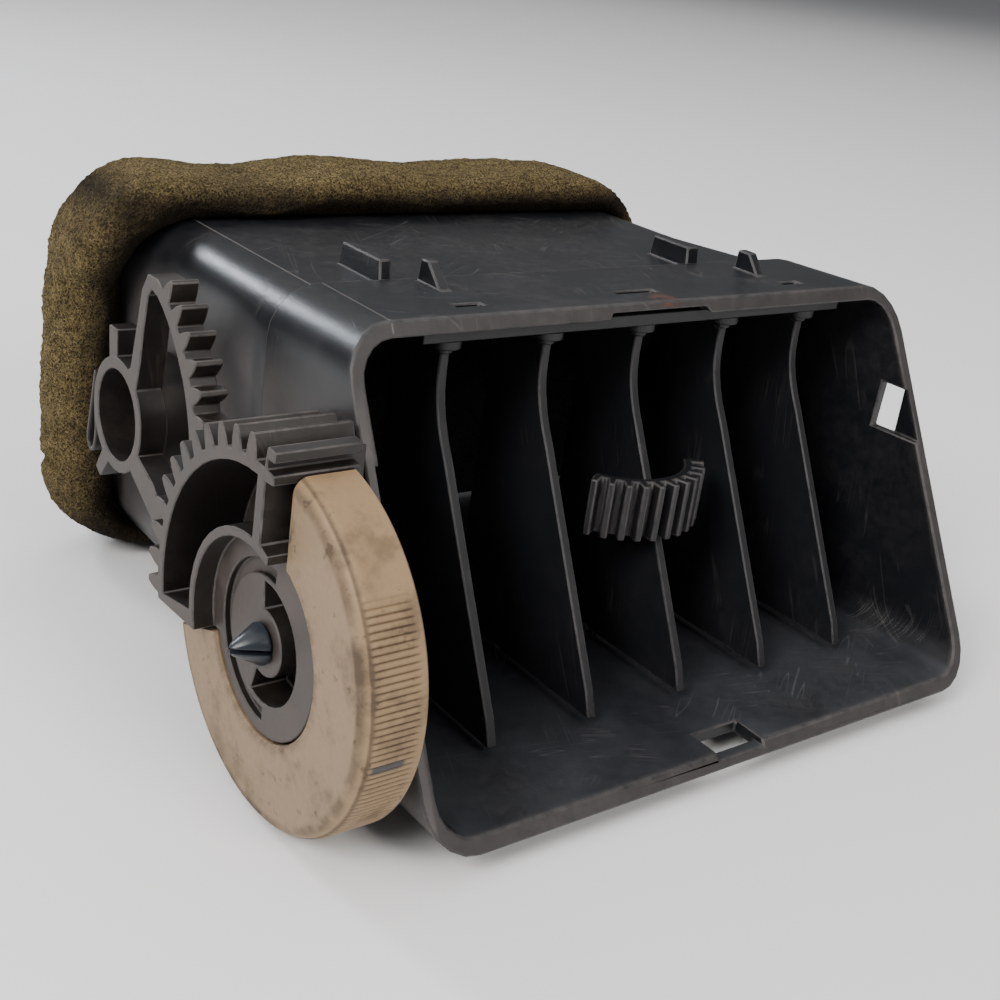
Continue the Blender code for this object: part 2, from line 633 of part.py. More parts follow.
def build_hairpin(finish):
    """Thin spring clip behind the lever's ring: one leg bears on the ring and the other is free."""
    turn = arc(CLIP_BEND, CLIP_BEND_R, 10, -170, 6)
    path = around((LEVER_Y, LEVER_Z), [*CLIP_FREE_LEG, *turn, *CLIP_BEARING_LEG])
    clip = bmesh.new()
    rows = []
    for i, point in enumerate(path):
        ahead, behind = path[min(i + 1, len(path) - 1)], path[max(i - 1, 0)]
        along = (Vector(ahead) - Vector(behind)).normalized()
        across = Vector((-along[1], along[0])) * CLIP_HALF_THICK
        near, far = Vector(point) + across, Vector(point) - across
        corners = ((CLIP_X[0], near), (CLIP_X[0], far), (CLIP_X[1], far), (CLIP_X[1], near))
        rows.append([clip.verts.new((x, *side)) for x, side in corners])
    for near, far in zip(rows, rows[1:]):
        for i in range(4):
            clip.faces.new((near[i], near[(i + 1) % 4], far[(i + 1) % 4], far[i]))
    clip.faces.new(rows[0])
    clip.faces.new(rows[-1])
    add_object("lever_hairpin_clip", clip, finish, (LEVER_INNER_X, LEVER_Y, LEVER_Z))


def along_flap(distance, off):
    """Point (y, z) at a distance up the flap from its shaft, and off its middle plane."""
    angle = math.radians(FLAP_REST_DEG)
    up = (math.cos(angle), math.sin(angle))
    return (LEVER_Y + distance * up[0] - off * up[1], LEVER_Z + distance * up[1] + off * up[0])


def flap_sheet(inset, near, far):
    """Sheet with round corners that lies along the flap, between two distances off its middle plane."""
    outline = rounded(inward(FLAP_X, inset), (inset - LOWER_WING, UPPER_WING - inset), FLAP_CORNER)
    shape = bmesh.new()
    rings = []
    for off in (near, far):
        rings.append([shape.verts.new((x, *along_flap(distance, off))) for x, distance in outline])
    for i in range(len(outline)):
        j = (i + 1) % len(outline)
        shape.faces.new((rings[0][i], rings[0][j], rings[1][j], rings[1][i]))
    shape.faces.new(rings[0])
    shape.faces.new(rings[1])
    return shape


def build_flap(plate_finish, foam_finish):
    """Butterfly flap with a shaft stub at each end, and a thin foam facing on each side that seals it."""
    centre = (LEVER_Y, LEVER_Z)
    pivot = (0.0, LEVER_Y, LEVER_Z)
    core = FLAP_CORE / 2
    left_root, right_root = FLAP_X[0] + STUB_ROOT, FLAP_X[1] - STUB_ROOT
    flap = add_object("flap_plate", flap_sheet(PAD_MARGIN, -core, core), plate_finish, pivot)
    combine(
        flap,
        "UNION",
        disc(centre, SHAFT_R, "X", LEVER_INNER_X + GAP, left_root, 20),
        disc(centre, KEY_R, "X", KEY_END_X, left_root, 16),
        disc(centre, KEY_R, "X", right_root, INLET_X[1] + 0.4, 16),
    )
    for name, side in (("flap_front_foam", 1), ("flap_rear_foam", -1)):
        near, far = side * (core + PAD_OFFSET), side * (core + PAD_OFFSET + FLAP_PAD)
        pad = add_object(name, flap_sheet(0, near, far), foam_finish, pivot)
        combine(
            pad,
            "DIFFERENCE",
            disc(centre, SHAFT_R + GAP, "X", FLAP_X[0] - BEYOND, left_root + GAP, 20),
            disc(centre, KEY_R + GAP, "X", right_root - GAP, FLAP_X[1] + BEYOND, 20),
        )


def build_foam(finish):
    """Soft collar glued round the inlet. Its front sits further back on the left side."""
    outer = rounded(FOAM_X, FOAM_Z, FOAM_CORNER, 6)
    gap_x = (INLET_X[0] - GAP, INLET_X[1] + GAP)
    inner = rounded(gap_x, (STEP - GAP, HEIGHT - STEP + GAP), DUCT_CORNER, 6)
    rings = [[] for _ in range(6)]
    for (ox, oz), (ix, iz) in zip(outer, inner):
        low, high = FOAM_CORNER_Z
        left = min(max((high - iz) / (high - low), 0.0), 1.0) if ix < INLET_X[0] + DUCT_CORNER else 0.0
        front = FOAM_FRONT + (FOAM_FRONT_LEFT - FOAM_FRONT) * left
        crown = front - FOAM_CROWN[0] - (FOAM_CROWN[1] - FOAM_CROWN[0]) * left
        places = ((0.0, front), (0.45, crown), (1.0, crown + 4.5), (1.0, FOAM_REAR - 5.5), (0.6, FOAM_REAR),
                  (0.0, FOAM_REAR - 0.8))
        for ring, (out, y) in zip(rings, places):
            ring.append((ix + (ox - ix) * out, y, iz + (oz - iz) * out))
    add_object("inlet_foam_seal", ring_solid(rings), finish)


def clear_scene():
    for item in list(bpy.data.objects):
        bpy.data.objects.remove(item, do_unlink=True)


def main():
    clear_scene()
    black = material("black_plastic", (0.022, 0.024, 0.028), 0.42)
    dusty = material("dusty_black_plastic", (0.06, 0.055, 0.052), 0.5)
    cream = material("cream_plastic", (0.46, 0.36, 0.25), 0.5)
    olive = material("olive_foam", (0.13, 0.10, 0.055), 0.95)
    grey_foam = material("grey_foam", (0.05, 0.05, 0.05), 0.95)
    gloss = material("glossy_pin_plastic", (0.03, 0.036, 0.045), 0.25)
    build_housing(black)
    build_strip(black)
    for number, x in enumerate(vane_positions(), 1):
        build_vane(number, x, black)
    build_link_bar(black)
    build_wheel_carrier(dusty)
    build_wheel_grip(cream)
    build_pivot_pin(gloss)
    build_flap_lever(dusty)
    build_hairpin(dusty)
    build_flap(black, grey_foam)
    build_foam(olive)


main()
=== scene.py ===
# %% [markdown]
# # A car dashboard air vent
#
# The vent is a black moulded duct with five steering vanes behind its leaning mouth. A cream thumbwheel on
# the left side turns a toothed lever, and the lever turns a shut-off flap deep in the duct. A collar of
# olive foam seals the duct to the car. The packed parts are the fixed frame: they say where each piece is
# and how it moves, and this lesson gives each one its finished shape and its material.

# %% Load the frame
import math

import bmesh
import bpy
import numpy as np
from mathutils import Matrix, Vector


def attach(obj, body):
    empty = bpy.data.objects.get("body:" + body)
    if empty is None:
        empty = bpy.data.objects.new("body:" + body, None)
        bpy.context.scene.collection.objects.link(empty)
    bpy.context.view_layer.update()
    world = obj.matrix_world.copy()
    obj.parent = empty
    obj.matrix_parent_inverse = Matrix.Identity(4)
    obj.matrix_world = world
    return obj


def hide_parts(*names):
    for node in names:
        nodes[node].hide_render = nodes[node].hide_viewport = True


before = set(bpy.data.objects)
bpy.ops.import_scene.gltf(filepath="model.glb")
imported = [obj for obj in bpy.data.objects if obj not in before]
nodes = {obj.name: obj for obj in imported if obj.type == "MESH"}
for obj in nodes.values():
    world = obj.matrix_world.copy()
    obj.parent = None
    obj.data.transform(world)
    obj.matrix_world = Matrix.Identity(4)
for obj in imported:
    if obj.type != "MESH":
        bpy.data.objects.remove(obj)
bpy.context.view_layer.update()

# %% [markdown]
# ## Sizes in the vent's own millimetres
#
# The vent was drawn in millimetres with y counted from the mouth's lower lip, while the packed parts are in
# metres with y counted from a point 50 mm behind that lip. One function turns the first into the second, so
# the sizes below read like a maker's drawing.

# %% Units
MM = 0.001
LIP_TO_ORIGIN = 50.0
MOUTH_LEAN = 36.9 / 66.6  # how far the mouth leans back for each millimetre of height


def placed(points):
    """World metres of points in vent millimetres: y loses the lip's distance, then all is scaled by 0.001."""
    return (np.asarray(points, dtype=float) - (0.0, LIP_TO_ORIGIN, 0.0)) * MM


print("middle of the lower lip, in metres:", placed((0.0, 0.0, 0.0)))

# %% [markdown]
# ## Surfaces from grids of points
#
# Every new piece is a surface with two parameters. A table of points with rows and columns holds it, and
# each cell of the table becomes one four-sided face. Joining the last column to the first closes a tube,
# and joining the last row to the first closes a ring, so no edge is left open.

# %% Surface helper
CREASE_ANGLE = math.radians(40)  # faces that turn by more than this keep a crisp crease between them


def wrapped(index, ring):
    """The grid of point numbers with its first column repeated at its end, and a ring's first row as well."""
    index = np.hstack([index, index[:, :1]])
    return np.vstack([index, index[:1]]) if ring else index


def surface(name, grid, ring=False):
    """Object from points of shape (rows, columns, 3). Columns close on themselves; rows close or get caps."""
    rows, columns = grid.shape[:2]
    plain = np.arange(rows * columns).reshape(rows, columns)
    index = wrapped(plain, ring)
    corners = (index[:-1, :-1], index[:-1, 1:], index[1:, 1:], index[1:, :-1])
    faces = np.stack(corners, axis=-1).reshape(-1, 4).tolist()
    if not ring:
        faces += [plain[0].tolist(), plain[-1].tolist()]
    mesh = bpy.data.meshes.new(name)
    mesh.from_pydata(grid.reshape(-1, 3).tolist(), [], faces)
    piece = bpy.data.objects.new(name, mesh)
    bpy.context.scene.collection.objects.link(piece)
    shape = bmesh.new()
    shape.from_mesh(mesh)
    bmesh.ops.recalc_face_normals(shape, faces=shape.faces)
    shape.to_mesh(mesh)
    shape.free()
    mesh.shade_smooth()
    mesh.set_sharp_from_angle(angle=CREASE_ANGLE)
    print(name, len(mesh.polygons), "faces")
    return piece


def ripples(points, size, seed, waves=28):
    """Smooth random height near -1 to 1: many sine waves of about one size in random directions, summed."""
    random = np.random.default_rng(seed)
    ways = random.normal(size=(waves, 3))
    ways *= (2 * math.pi / size * random.uniform(0.7, 1.4, waves) / np.linalg.norm(ways, axis=1))[:, None]
    phases = random.uniform(0, 2 * math.pi, waves)
    heights = np.zeros(points.shape[:-1])
    for way, phase in zip(ways, phases):
        heights += np.sin(points @ way + phase)
    return heights / math.sqrt(waves)


three_places = np.arange(3)[:, None] * (5.0, 0.0, 0.0)
print("ripples at three places 5 mm apart:", ripples(three_places, 8.0, seed=1).round(2))

# %% [markdown]
# ## Moulded edges
#
# Nothing that comes out of a mould has a perfectly sharp edge, and on dark plastic it is the thin light
# line on each rounded edge that shows the shape. The packed parts keep their exact outlines, so each
# visible one is copied, its loose triangles are merged, and a small bevel rounds its edges. The bevel's own
# faces take a second material: the same plastic painted paler, partly as wear where hands, tools and
# neighbouring parts have touched it and partly as a painted highlight along each edge.

# %% Softened copies of the packed parts
EDGE_ANGLE = math.radians(32)  # a sharper turn than this is an edge and gets rounded
FLAT_ANGLE = math.radians(1.0)  # a smaller turn than this is one flat face
MERGE_DISTANCE = 2e-6
BEVEL_SEGMENTS = 2


def softened(node, width_mm):
    """Copy of a part with doubles merged, flat faces made whole, and edges rounded by a bevel."""
    source = nodes[node].data
    points = np.empty(len(source.vertices) * 3)
    source.vertices.foreach_get("co", points)
    mesh = bpy.data.meshes.new(f"{node}_finished")
    faces = [tuple(face.vertices) for face in source.polygons]
    mesh.from_pydata(points.reshape(-1, 3).tolist(), [], faces)
    shape = bmesh.new()
    shape.from_mesh(mesh)
    bmesh.ops.remove_doubles(shape, verts=shape.verts, dist=MERGE_DISTANCE)
    bmesh.ops.dissolve_limit(shape, angle_limit=FLAT_ANGLE, verts=shape.verts, edges=shape.edges)
    bmesh.ops.connect_verts_concave(shape, faces=shape.faces)
    shape.to_mesh(mesh)
    shape.free()
    mesh.shade_smooth()
    mesh.set_sharp_from_angle(angle=EDGE_ANGLE)
    piece = bpy.data.objects.new(f"{node}_finished", mesh)
    bpy.context.scene.collection.objects.link(piece)
    rounding = piece.modifiers.new("moulded_edges", "BEVEL")
    rounding.width = width_mm * MM
    rounding.segments = BEVEL_SEGMENTS
    rounding.limit_method = "ANGLE"
    rounding.angle_limit = EDGE_ANGLE
    rounding.use_clamp_overlap = False
    # The bevel's faces take material 1: the plastic painted paler, partly as edge wear and partly as a
    # painted highlight.
    rounding.material = 1
    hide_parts(node)
    print(piece.name, len(mesh.polygons), "faces before its bevel")
    return piece


# %% [markdown]
# ## Writing shaders as sums
#
# A material is a net of nodes, but most of the net is plain arithmetic on masks. The class below wraps one
# output of a node. Its operators add Math nodes, so a mask can be written as 1 - dust * 0.5, and one method
# adds any other kind of node. Colours never go through Math nodes, because those turn a colour grey.

# %% Shader helper
class Wire:
    """One output socket in a material. Sums written with it add Math nodes to the same material."""

    def __init__(self, tree, socket=None):
        self.tree = tree
        self.socket = socket

    def node(self, kind, settings=None, sockets=None, output=0):
        """Adds a node, sets its settings, sets or links its sockets, and returns one of its outputs."""
        made = self.tree.nodes.new("ShaderNode" + kind)
        for name, value in (settings or {}).items():
            setattr(made, name, value)
        for name, value in (sockets or {}).items():
            if isinstance(value, Wire):
                self.tree.links.new(value.socket, made.inputs[name])
            else:
                made.inputs[name].default_value = value
        return Wire(self.tree, made.outputs[output])

    def math(self, operation, first, second):
        return self.node("Math", {"operation": operation}, {0: first, 1: second})

    def __add__(self, other):
        return self.math("ADD", self, other)

    def __sub__(self, other):
        return self.math("SUBTRACT", self, other)

    def __rsub__(self, other):
        return self.math("SUBTRACT", other, self)

    def __mul__(self, other):
        return self.math("MULTIPLY", self, other)

    __radd__ = __add__
    __rmul__ = __mul__

    def distance_from(self, level):
        """How far the value is from a level, always positive."""
        return self.node("Math", {"operation": "ABSOLUTE"}, {0: self - level})

    def part(self, index):
        """One number of a vector: 0 is X, 1 is Y and 2 is Z."""
        return self.node("SeparateXYZ", None, {0: self}, output=index)

    def clamped(self):
        """The value held between 0 and 1."""
        return self.node("Clamp", None, {"Value": self})

    def rising(self, low, high):
        """0 below low, 1 above high, and a smooth rise between. With low above high it falls instead."""
        return self.node(
            "MapRange",
            {"interpolation_type": "SMOOTHSTEP"},
            {"Value": self, "From Min": low, "From Max": high},
        )

    def blend(self, under, over):
        """The colour under where this mask is 0 and over where it is 1."""
        under, over = [(*c, 1.0) if isinstance(c, tuple) else c for c in (under, over)]
        return self.node("Mix", {"data_type": "RGBA"}, {0: self, 6: under, 7: over}, output=2)


def start_material(name):
    """New material with an empty net, and its Object coordinates, which are metres in the vent's frame."""
    material = bpy.data.materials.new(name)
    material.use_nodes = True
    material.node_tree.nodes.clear()
    return material, Wire(material.node_tree).node("TexCoord", output=3)


def noise(place, size_mm, detail=3.0, roughness=0.55):
    """Cloudy noise from 0 to 1 whose clouds are about size_mm across."""
    sockets = {"Vector": place, "Scale": 1000.0 / size_mm, "Detail": detail, "Roughness": roughness}
    return place.node("TexNoise", None, sockets)


def finish_material(material, sockets, specular=0.5):
    """Adds the Principled shader with these linked sockets and joins it to the material's output."""
    sockets = {"Specular IOR Level": specular, **sockets}
    shader = Wire(material.node_tree).node("BsdfPrincipled", None, sockets)
    output = material.node_tree.nodes.new("ShaderNodeOutputMaterial")
    material.node_tree.links.new(shader.socket, output.inputs["Surface"])
    return material


def bumped(height, strength, depth_mm):
    """Normal bent by a height from 0 to 1 that stands for depth_mm."""
    return height.node("Bump", None, {"Strength": strength, "Distance": depth_mm * MM, "Height": height})


print("a wire can do:", [name for name in vars(Wire) if not name.startswith("_")])

# %% [markdown]
# ## Dusty black plastic
#
# The duct, the vanes and the wheel's mechanism are one kind of plastic: a blue-black, satin polypropylene.
# Years behind a dashboard leave grey-brown dust in uneven clouds, thin pale scratches that run mostly one
# way, and small specks. One recipe makes them all, and each piece sets how dusty, how scratched and how
# shiny it is. A scratch is the thin line where a stretched noise crosses its middle value, kept only where
# a second noise says.

# %% Plastic recipe
MATT, SHINE = 0.62, 0.36  # roughness of the dullest clean plastic, and how much full gloss takes off it


def scratches(place, turn, size_mm, width, shift):
    """Mask of thin lines: where noise pulled out 25 times along one direction passes its middle value.

    The place is turned first and pulled out after, so that turn sets which way the lines run, in radians.
    """
    sockets = {"Vector": place, "Location": (shift, shift, 0.0), "Rotation": turn}
    turned = place.node("Mapping", None, sockets)
    pulled = place.node("Mapping", None, {"Vector": turned, "Scale": (0.04, 1.0, 0.04)})
    kept = noise(turned, 12.0, 2.0).rising(0.54, 0.66)
    return noise(pulled, size_mm, 1.0).distance_from(0.5).rising(width, 0.0) * kept


def plastic(name, colour, dust_and_light_colour, dust, scratch, gloss, edge_wear_and_highlight=0.0, **masks):
    """Dusty scratched plastic. dust, scratch, gloss and edge_wear_and_highlight are from 0 to 1.
    edge_wear_and_highlight paints the plastic paler, partly as rubbed wear and partly as a painted highlight;
    it is used only on the bevel faces.

    Three functions of the place may add masks: more for extra dust with painted light and shade, haze for a
    cool haze that is partly a painted reflection, stain for residue.
    """
    material, place = start_material(name)
    clouds = noise(place, 16.0, 5.0, 0.62)
    film = noise(place, 2.2, 4.0, 0.7)
    specks = noise(place, 0.7, 2.0, 0.5).rising(0.69, 0.76)
    cover = clouds.rising(0.34, 0.72) * film.rising(0.25, 0.75) * dust
    if "more" in masks:
        cover = cover + masks["more"](place) * (0.55 + 0.45 * film)
    lines = scratches(place, (0.1, 0.1, 0.5), 1.6, 0.02, 0.0)
    lines = lines + scratches(place, (0.2, 0.1, 2.0), 2.4, 0.014, 0.3)
    cover = cover + lines * scratch + specks * (0.25 * dust + 0.05) + edge_wear_and_highlight * film.rising(0.2, 0.6)
    cover = cover.clamped()
    tone = noise(place, 30.0, 2.0)
    base = tone.blend(tuple(0.8 * c for c in colour), tuple(1.25 * c for c in colour))
    painted = cover.blend(base, dust_and_light_colour)
    if "haze" in masks:
        painted = masks["haze"](place).blend(painted, COOL_HAZE_AND_REFLECTION)
    if "stain" in masks:
        painted = masks["stain"](place).blend(painted, RESIDUE)
    roughness = MATT - SHINE * gloss + film * 0.10 + cover * 0.34
    grain = noise(place, 0.28, 2.0, 0.6)
    height = grain * 0.5 + noise(place, 3.5, 2.0) * 0.5 - lines * 0.6
    return finish_material(material, {
        "Base Color": painted,
        "Roughness": roughness,
        "Normal": bumped(height, 0.22, 0.12),
    })


print("clean plastic's roughness runs from", round(MATT - SHINE, 2), "to", MATT)

# %% [markdown]
# ## Where the dust and the marks go
#
# Each mask below is a place on the vent written as distances in metres: how far right of the middle, how
# high above the underside, how far behind the mouth. Dust lies on the left wall, where the mechanism
# gathers it, except in a band just behind the sleeve's step, which is left dark as a painted shade. The
# floor of the mouth carries a cool haze that is partly a painted reflection, and the floor and the roof
# carry long scratches from parts that slid past. The mechanism's left-facing faces are painted paler as
# lit faces, with some dust, and the slot round the snap pin is kept dark as a painted shade.

# %% Masks
LEFT_WALL_X = -0.0600
PARTING_X = -0.0532
NOTCH_X = 0.0015
STEP_SHADE_BAND_Y = 0.0102  # the middle of the band behind the sleeve's step that is left without dust, as a painted shade line
ROOF_Z = 0.0640
WHEEL_Y, WHEEL_Z = 27.9, 24.0
SLOT_R, SLOT_FACE_X = 0.0096, -0.0745  # the slot round the snap pin: its reach, and the face it is cut into


def side_of(place):
    """Distance to the right of the vent's middle plane, in metres."""
    return place.part(0)


def height_of(place):
    """Height above the underside, in metres."""
    return place.part(2)


def behind_mouth(place):
    """Distance behind the leaning mouth plane, in metres."""
    return place.part(1) + LIP_TO_ORIGIN * MM - height_of(place) * MOUTH_LEAN


def axis_distance(place, y, z):
    """Distance in metres from a line along X through a point (y, z) in vent millimetres."""
    centre = (0.0, (y - LIP_TO_ORIGIN) * MM, z * MM)
    offset = place.node("VectorMath", {"operation": "SUBTRACT"}, {0: place, 1: centre})
    flat = place.node("VectorMath", {"operation": "MULTIPLY"}, {0: offset, 1: (0.0, 1.0, 1.0)})
    return place.node("VectorMath", {"operation": "LENGTH"}, {0: flat}, output=1)


def facing(place, index):
    """How much a face looks along X, Y or Z, from -1 to 1."""
    return place.node("NewGeometry", None, None, output=1).part(index)


def housing_dust_and_step_shade(place):
    """Dust on the left wall except just behind the step, where a band left dark is a painted shade, a paler
    rubbed rim, and the roof's parting line.
    """
    on_left = side_of(place).rising(LEFT_WALL_X + 0.0004, LEFT_WALL_X - 0.0003)
    left_wall = on_left * height_of(place).rising(0.060, 0.050)
    step_shade_band = place.part(1).distance_from(STEP_SHADE_BAND_Y).rising(0.0042, 0.0020)
    rim = behind_mouth(place).rising(0.0012, 0.0002)
    seam = side_of(place).distance_from(PARTING_X).rising(0.00022, 0.00008)
    seam = seam * height_of(place).rising(ROOF_Z + 0.0008, ROOF_Z + 0.0012)
    # Without dust, the band behind the step stays dark: a painted shade.
    return left_wall * (1 - step_shade_band) * 0.42 + rim * 0.28 + seam * 0.7


def haze_reflection_and_scratches(place):
    """Cool grey haze on the floor inside the lower lip, partly a painted bluish reflection, and long
    scratches there and on the roof.
    """
    level = facing(place, 2).rising(0.75, 0.95)
    lip = level * height_of(place).rising(0.006, 0.004) * behind_mouth(place).rising(0.055, 0.004)
    roof = level * height_of(place).rising(ROOF_Z - 0.0010, ROOF_Z)
    lines = scratches(place, (0.0, 0.0, 0.25), 2.2, 0.010, 0.6)
    lines = lines + scratches(place, (0.0, 0.0, -0.6), 3.0, 0.008, 0.9)
    marks = noise(place, 1.1, 4.0, 0.7).rising(0.60, 0.72) * noise(place, 14.0, 2.0).rising(0.50, 0.62)
    # The haze film on the level floor is partly a painted reflection.
    film = noise(place, 26.0, 5.0, 0.6).rising(0.15, 0.75)
    return lip * (film * 0.5 + lines * 0.5 + marks * 0.3) + roof * (lines * 0.45 + marks * 0.5)


def notch_residue(place):
    """Reddish-brown remains of glue in the middle of the mouth's top edge."""
    across = side_of(place).distance_from(NOTCH_X).rising(0.0035, 0.0008)
    up = height_of(place).rising(ROOF_Z - 0.0008, ROOF_Z + 0.0002) * behind_mouth(place).rising(0.006, 0.001)
    return across * up * noise(place, 1.6, 3.0).rising(0.35, 0.6) * 0.8


def lit_outer_faces_and_dust(place):
    """Painted light on the faces that look outwards to the left, with some dust, kept off deep in the slot
    round the snap pin, which stays dark as painted shade.
    """
    outwards = facing(place, 0).rising(-0.6, -0.95)
    slot_shade = axis_distance(place, WHEEL_Y, WHEEL_Z).rising(SLOT_R, SLOT_R - 0.0003)
    slot_shade = slot_shade * side_of(place).rising(SLOT_FACE_X, SLOT_FACE_X + 0.0010)
    # Paler left-facing faces are painted light; the slot is left dark as painted shade.
    return outwards * (0.28 + 0.30 * noise(place, 7.0, 5.0, 0.65).rising(0.3, 0.7)) * (1 - slot_shade)


print("dusty wall at", LEFT_WALL_X / MM, "mm, parting line at", PARTING_X / MM, "mm")

# %% [markdown]
# ## The plastics
#
# One recipe gives seven finishes. An edge finish is the same plastic with more of it painted pale, partly as
# rubbed wear and partly as a painted highlight.

# %% Plastics
BLACK = (0.0046, 0.0054, 0.0072)
DUST_AND_LIT_FACE = (0.100, 0.073, 0.061)
PALE_DUST_AND_HIGHLIGHT = (0.130, 0.113, 0.106)
RESIDUE = (0.10, 0.035, 0.018)
# COOL_HAZE_AND_REFLECTION tints the haze and scratches; on the mouth's floor it is partly a painted bluish
# reflection.
COOL_HAZE_AND_REFLECTION = (0.070, 0.073, 0.082)
DARK_GREY = (0.0090, 0.0072, 0.0062)
BLUE_BLACK = (0.016, 0.021, 0.028)
housing_plastic = plastic("housing_plastic", BLACK, PALE_DUST_AND_HIGHLIGHT, dust=0.10, scratch=0.14, gloss=0.88,
                          more=housing_dust_and_step_shade, haze=haze_reflection_and_scratches, stain=notch_residue)
housing_edge = plastic("housing_edge_wear_and_highlight", BLACK, PALE_DUST_AND_HIGHLIGHT, dust=0.15, scratch=0.2, gloss=0.6, edge_wear_and_highlight=0.26)
vane_plastic = plastic("vane_plastic", BLACK, PALE_DUST_AND_HIGHLIGHT, dust=0.05, scratch=0.12, gloss=0.5)
vane_edge = plastic("vane_edge_wear_and_highlight", BLACK, PALE_DUST_AND_HIGHLIGHT, dust=0.15, scratch=0.1, gloss=0.5, edge_wear_and_highlight=0.22)
# mechanism_plastic paints its left-facing faces paler as painted light, and keeps the pin's slot dark as
# painted shade.
mechanism_plastic = plastic("mechanism_plastic", DARK_GREY, DUST_AND_LIT_FACE, dust=0.16, scratch=0.2, gloss=0.72,
                            more=lit_outer_faces_and_dust)
mechanism_edge = plastic("mechanism_edge_wear_and_highlight", DARK_GREY, PALE_DUST_AND_HIGHLIGHT, dust=0.3, scratch=0.2, gloss=0.45,
                         edge_wear_and_highlight=0.38)
pin_plastic = plastic("pin_plastic", BLUE_BLACK, PALE_DUST_AND_HIGHLIGHT, dust=0.08, scratch=0.1, gloss=1.0)
print("plastics:", [m.name for m in bpy.data.materials if "plastic" in m.name or "edge" in m.name])

# %% [markdown]
# ## The duct and the parts inside it
#
# The duct, the strip under its roof, the vanes and the link bar have the right outlines already. What they
# need is the softened edge and the satin black finish, so they are copied, rounded and painted.

# %% Duct, strip, vanes and link bar
def dressed(piece, body, slot, *finishes):
    """Gives a piece its materials and says which body it rides on. The slot argument is not used."""
    for finish in finishes:
        piece.data.materials.append(finish)
    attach(piece, body)
    return piece


dressed(softened("duct_housing", 0.35), "housing", "housing_plastic", housing_plastic, housing_edge)
dressed(softened("upper_vane_bearing_strip", 0.2), "housing", "mechanism_plastic", vane_plastic, vane_plastic)
dressed(softened("vane_link_bar", 0.25), "link_bar", "mechanism_plastic", vane_plastic, vane_edge)
for number in range(1, 6):
    vane = softened(f"vane_{number}", 0.3)
    dressed(vane, f"vane_{number}", "mechanism_plastic", vane_plastic, vane_edge)

# %% [markdown]
# ## Wheel carrier, lever and pin
#
# These sit outside the duct, so they are greyer with dust, their left-facing faces are painted paler as lit
# faces, and their edges are painted pale, partly as rubbed wear and partly as painted highlight. The snap pin
# is newer-looking: a glossy blue-black that the dust has not stuck to.

# %% Outer mechanism
carrier = softened("thumbwheel_carrier", 0.22)
dressed(carrier, "thumbwheel", "mechanism_plastic", mechanism_plastic, mechanism_edge)
lever = softened("flap_lever", 0.22)
dressed(lever, "flap", "mechanism_plastic", mechanism_plastic, mechanism_edge)
dressed(softened("thumbwheel_pivot_pin", 0.15), "housing", "pin_plastic", pin_plastic, pin_plastic)
dressed(softened("flap_plate", 0.2), "flap", "mechanism_plastic", vane_plastic, vane_edge)

# %% [markdown]
# ## Cream thumbwheel grip
#
# The grip is a cream rim that the thumb rolls. Its tread has fine ribs across it and a soft rounded
# shoulder where dirt has settled. It is a profile carried round the wheel's axis: each row of the grid is
# one step of the turn, and the tread's radius rises and falls with the steps to make the ribs. The upper end
# is cut upright, so each point of the profile starts at its own angle. The lower end is cut towards the axis.

# %% Grip shape
GRIP_R, GRIP_BORE_R = 27.7, 14.4
GRIP_FACE_X, GRIP_INNER_X = -75.3, -65.6
SHOULDER_R = 2.3
GRIP_EDGE_Y = -5.3
GRIP_END_DEG = 339.0
RIBS = 118
RIB_DEPTH = 0.24
RIB_STEPS = 8
GRIP_EDGE_R = 0.4


def grip_profile():
    """Closed outline (x, radius): bore, inner side, ribbed tread, round shoulder and face."""
    turn = np.linspace(0.0, math.pi / 2, 9)
    shoulder_x = GRIP_FACE_X + SHOULDER_R * (1 - np.sin(turn))
    shoulder_r = GRIP_R - SHOULDER_R * (1 - np.cos(turn))
    inner_edge_x = GRIP_INNER_X - GRIP_EDGE_R
    x = [GRIP_FACE_X + GRIP_EDGE_R, inner_edge_x, GRIP_INNER_X, GRIP_INNER_X, inner_edge_x]
    radius = [GRIP_BORE_R, GRIP_BORE_R, GRIP_BORE_R + GRIP_EDGE_R, GRIP_R - GRIP_EDGE_R, GRIP_R]
    tread = np.linspace(GRIP_INNER_X - 2 * GRIP_EDGE_R, GRIP_FACE_X + SHOULDER_R + GRIP_EDGE_R, 10)
    face = np.linspace(GRIP_R - SHOULDER_R - 1.0, GRIP_BORE_R + GRIP_EDGE_R, 6)
    x = np.concatenate([x, tread, shoulder_x, np.full(6, GRIP_FACE_X)])
    radius = np.concatenate([radius, np.full(10, GRIP_R), shoulder_r, face])
    return x, radius


